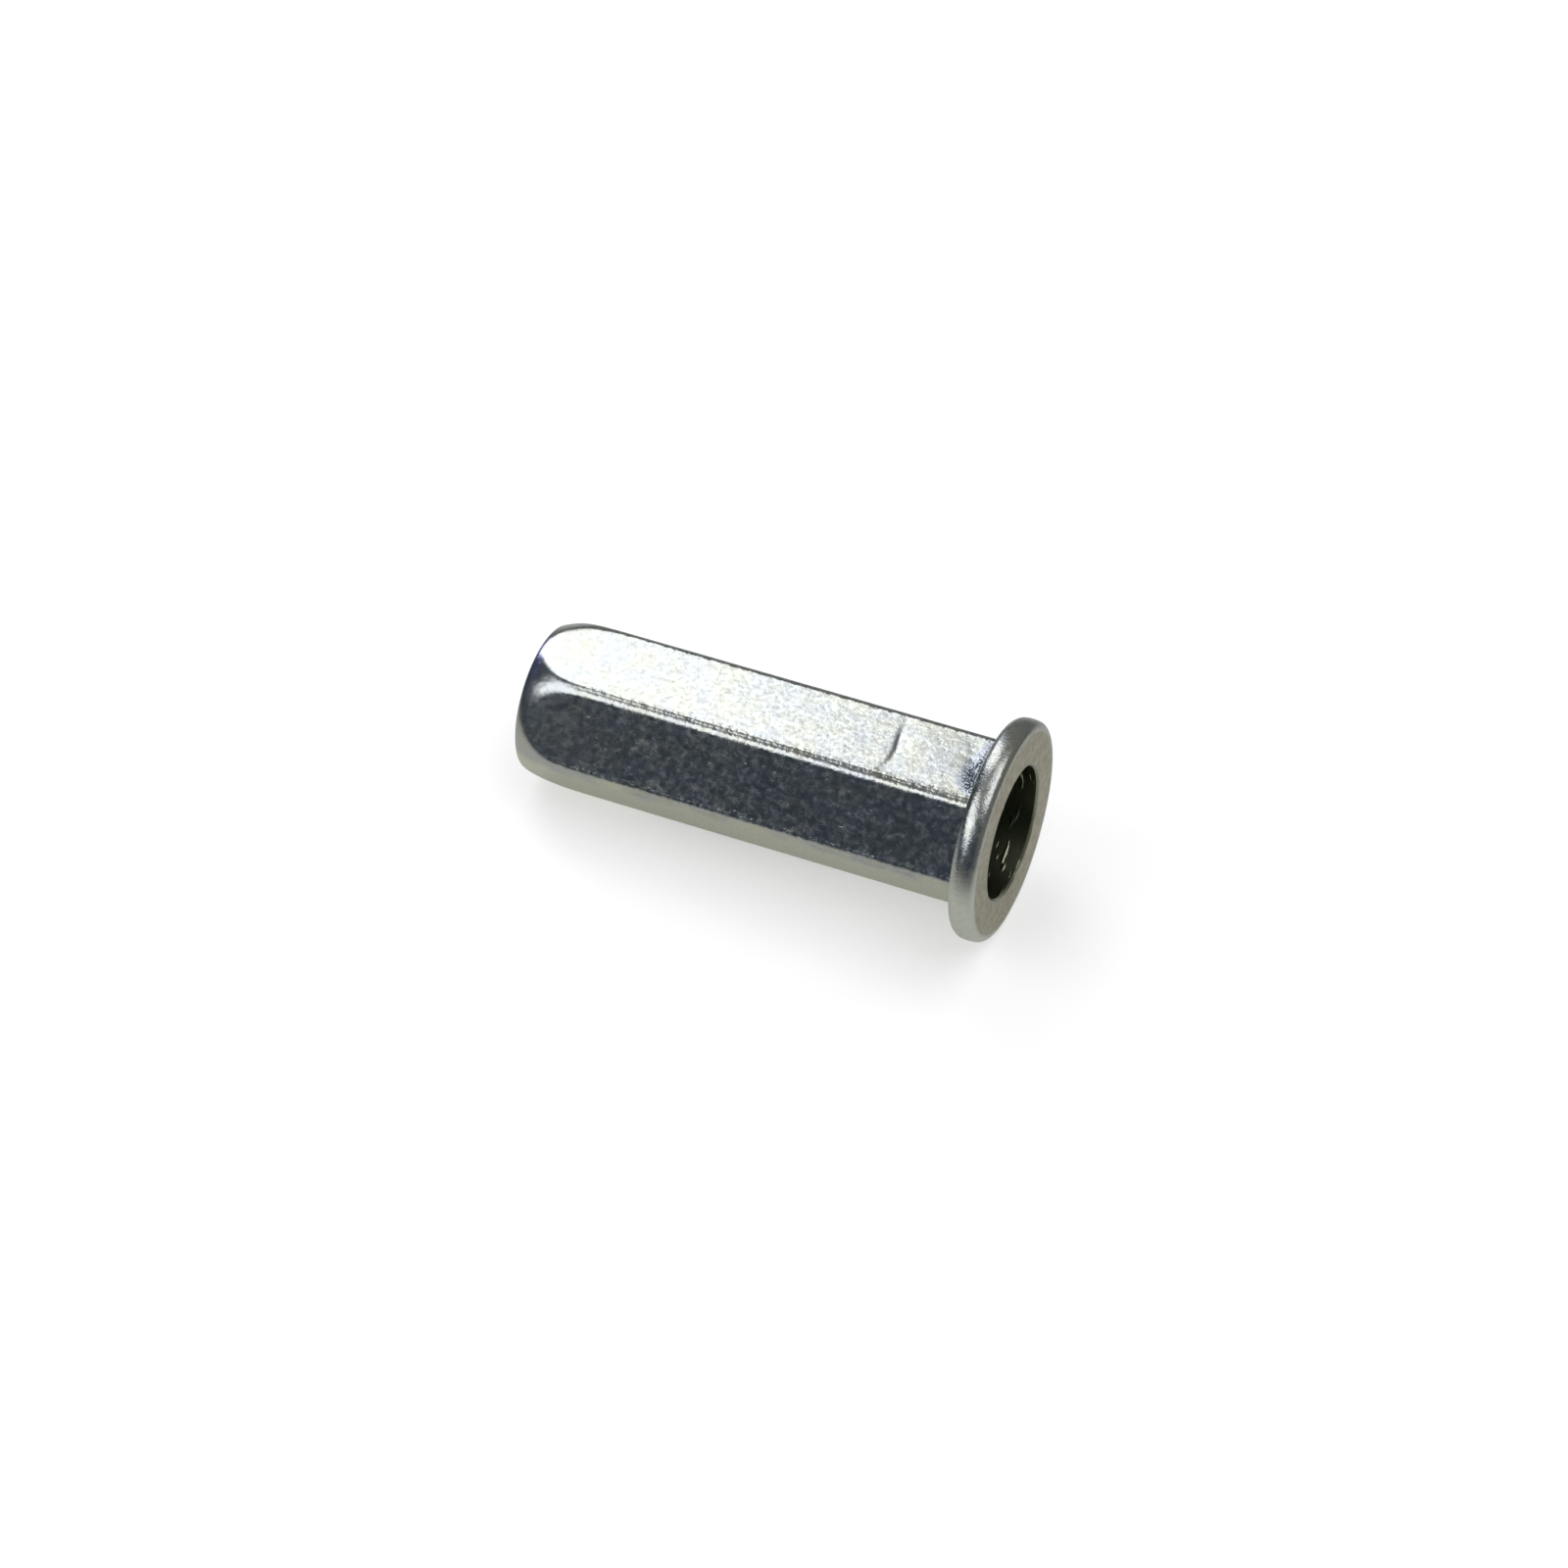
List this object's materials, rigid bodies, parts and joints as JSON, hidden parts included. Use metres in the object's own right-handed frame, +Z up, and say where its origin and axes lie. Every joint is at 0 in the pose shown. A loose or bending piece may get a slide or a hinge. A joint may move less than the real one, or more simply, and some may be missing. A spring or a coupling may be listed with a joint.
{
  "type": "rivet nut",
  "caption": "Closed-end rivet nut for an M6 screw: thin flat flange, hexagonal shank with rounded nose, stepped blind hole, zinc-plated steel.",
  "frame": {"origin": "centre of the base of the nut's box, on the surface that it lies on", "axes": "+X along the nut from its closed end to its mouth, level; +Z up. The nut's own axis rises 4.23 degrees from +X to +Z, because it rests on its flange's rim and on the far end of one flat"},
  "size_m": [0.0296, 0.013, 0.013],
  "materials": {
    "zinc_plated_steel": "bright zinc plating, clear passivated, lightly marked from tumbling"
  },
  "bodies": {
    "root": {"rivet_nut": "zinc_plated_steel"}
  },
  "joints": []
}
